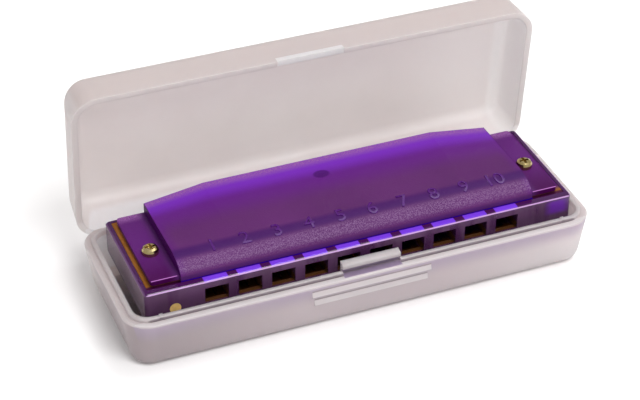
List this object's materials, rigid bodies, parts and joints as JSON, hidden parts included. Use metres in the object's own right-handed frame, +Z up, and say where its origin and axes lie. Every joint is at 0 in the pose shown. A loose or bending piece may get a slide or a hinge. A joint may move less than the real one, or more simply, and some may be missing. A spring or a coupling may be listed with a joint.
{
  "type": "hinged harmonica case",
  "caption": "Frosted plastic case with a living-hinged lid and front snap tab, open around a translucent diatonic mouth organ.",
  "frame": {"origin": "middle of the tray's flat underside, on the surface that the case stands on", "axes": "+X along the case, to the player's right; -Y is the latch side; +Z up out of the tray"},
  "size_m": [0.1082, 0.0496, 0.0469],
  "materials": {
    "case_plastic": "fine frosted translucent polypropylene",
    "comb_plastic": "clear purple-tinted moulded plastic, polished",
    "cover_plastic": "translucent purple, finely textured",
    "brass_plate": "rolled sheet",
    "reed_brass": "ground",
    "brass_rivet": "turned",
    "plated_screw": "yellow zinc plate"
  },
  "bodies": {
    "base": {"case_base": "case_plastic", "living_hinge": "case_plastic", "comb": "comb_plastic", "reed_plate_upper": "brass_plate", "reed_plate_lower": "brass_plate", "reed_rivets_upper": "brass_rivet", "reed_rivets_lower": "brass_rivet", "cover_upper": "cover_plastic", "cover_lower": "cover_plastic", "cover_screw_left": "plated_screw", "cover_screw_right": "plated_screw", "cover_nut_left": "plated_screw", "cover_nut_right": "plated_screw", "blow_reed_01": "reed_brass", "draw_reed_01": "reed_brass", "blow_reed_02": "reed_brass", "draw_reed_02": "reed_brass", "blow_reed_03": "reed_brass", "draw_reed_03": "reed_brass", "blow_reed_04": "reed_brass", "draw_reed_04": "reed_brass", "blow_reed_05": "reed_brass", "draw_reed_05": "reed_brass", "blow_reed_06": "reed_brass", "draw_reed_06": "reed_brass", "blow_reed_07": "reed_brass", "draw_reed_07": "reed_brass", "blow_reed_08": "reed_brass", "draw_reed_08": "reed_brass", "blow_reed_09": "reed_brass", "draw_reed_09": "reed_brass", "blow_reed_10": "reed_brass", "draw_reed_10": "reed_brass"},
    "lid": {"case_lid": "case_plastic"}
  },
  "joints": [
    {"name": "lid_hinge", "type": "hinge", "parent": "base", "child": "lid", "pos_m": [0, 0.0178, 0.01], "axis": [-1, 0, 0], "range_deg": [-84, 38], "deforming": ["living_hinge"]}
  ]
}
